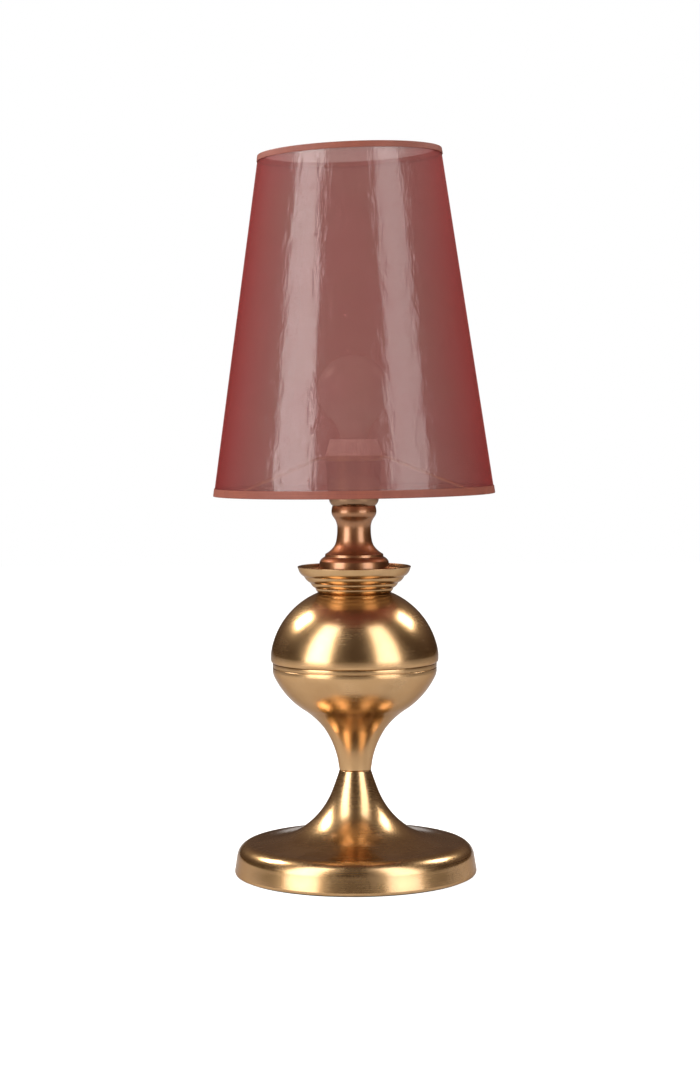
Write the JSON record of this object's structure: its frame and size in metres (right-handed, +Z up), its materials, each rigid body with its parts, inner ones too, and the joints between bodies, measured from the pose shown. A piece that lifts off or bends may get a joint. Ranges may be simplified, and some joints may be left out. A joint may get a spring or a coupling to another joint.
{
  "type": "table lamp",
  "caption": "Table lamp with a turned vase stand on a round trumpet base, a stepped drip pan and a tall tapered film shade over a frosted globe bulb.",
  "frame": {"origin": "on the floor under the axis of the stand, at the middle of the felt pad's underside", "axes": "+Z up along the stand's axis, +Y to the back where the lead enters, +X to the right seen from the front"},
  "size_m": [0.1755, 0.1754, 0.4518],
  "materials": {
    "felt": "matt felt",
    "ballast": "rough cast",
    "base_brass": "satin turned, darkened",
    "vase_brass": "satin turned",
    "pan_brass": "satin spun",
    "neck_copper": "satin turned, copper toned",
    "cup_brass": "satin spun",
    "bushing_plastic": "matt",
    "zinc_steel": "zinc plated",
    "holder_plastic": "moulded, slight gloss",
    "block_plastic": "moulded",
    "contact_brass": "rolled sheet",
    "ring_plastic": "moulded, slight gloss",
    "cap_aluminium": "rolled thread",
    "solder": "dull solder",
    "black_glass": "gloss",
    "frosted_glass": "frosted inside",
    "clear_glass": "clear",
    "lamp_wire": "drawn wire",
    "shade_wire": "zinc plated",
    "shade_film": "translucent, glossy",
    "shade_binding": "folded film, glossy"
  },
  "bodies": {
    "stand": {"base_pad": "felt", "base_weight": "ballast", "base_shell": "base_brass", "cord_bushing": "bushing_plastic", "bottom_washer": "zinc_steel", "spring_washer": "zinc_steel", "bottom_nut": "zinc_steel", "threaded_tube": "zinc_steel", "lower_vase": "vase_brass", "upper_vase": "vase_brass", "drip_pan": "pan_brass", "neck": "neck_copper", "socket_cup": "cup_brass", "lampholder_cap": "holder_plastic", "lampholder_sleeve": "holder_plastic", "lampholder_insert": "block_plastic", "centre_contact": "contact_brass", "side_contact": "contact_brass", "terminal_screws": "zinc_steel"},
    "shade": {"shade_fitter": "shade_wire", "shade_film": "shade_film", "shade_lower_wire": "shade_wire", "shade_upper_wire": "shade_wire", "shade_lower_hem": "shade_binding", "shade_upper_hem": "shade_binding"},
    "ring": {"shade_ring": "ring_plastic"},
    "bulb_foot": {"bulb_contact": "solder"},
    "bulb": {"bulb_insulator": "black_glass", "bulb_cap": "cap_aluminium", "bulb_globe": "frosted_glass", "bulb_mount": "clear_glass", "bulb_leads": "lamp_wire", "bulb_filament": "lamp_wire"}
  },
  "joints": [
    {"name": "shade_turn", "type": "hinge", "parent": "stand", "child": "shade", "pos_m": [0, 0, 0.259], "axis": [0, 0, 1], "continuous": true},
    {"name": "shade_ring_lift", "type": "slide", "parent": "stand", "child": "ring", "axis": [0, 0, 1], "range_m": [0, 0.006]},
    {"name": "bulb_lift", "type": "slide", "parent": "stand", "child": "bulb_foot", "axis": [0, 0, 1], "range_m": [0, 0.01127]},
    {"name": "bulb_turn", "type": "hinge", "parent": "bulb_foot", "child": "bulb", "pos_m": [0, 0, 0.2468], "axis": [0, 0, 1], "range_deg": [0, 1440]}
  ],
  "couplings": [
    {"joint": "bulb_turn", "follows": "bulb_lift", "rad_per_m": 2228.1}
  ]
}
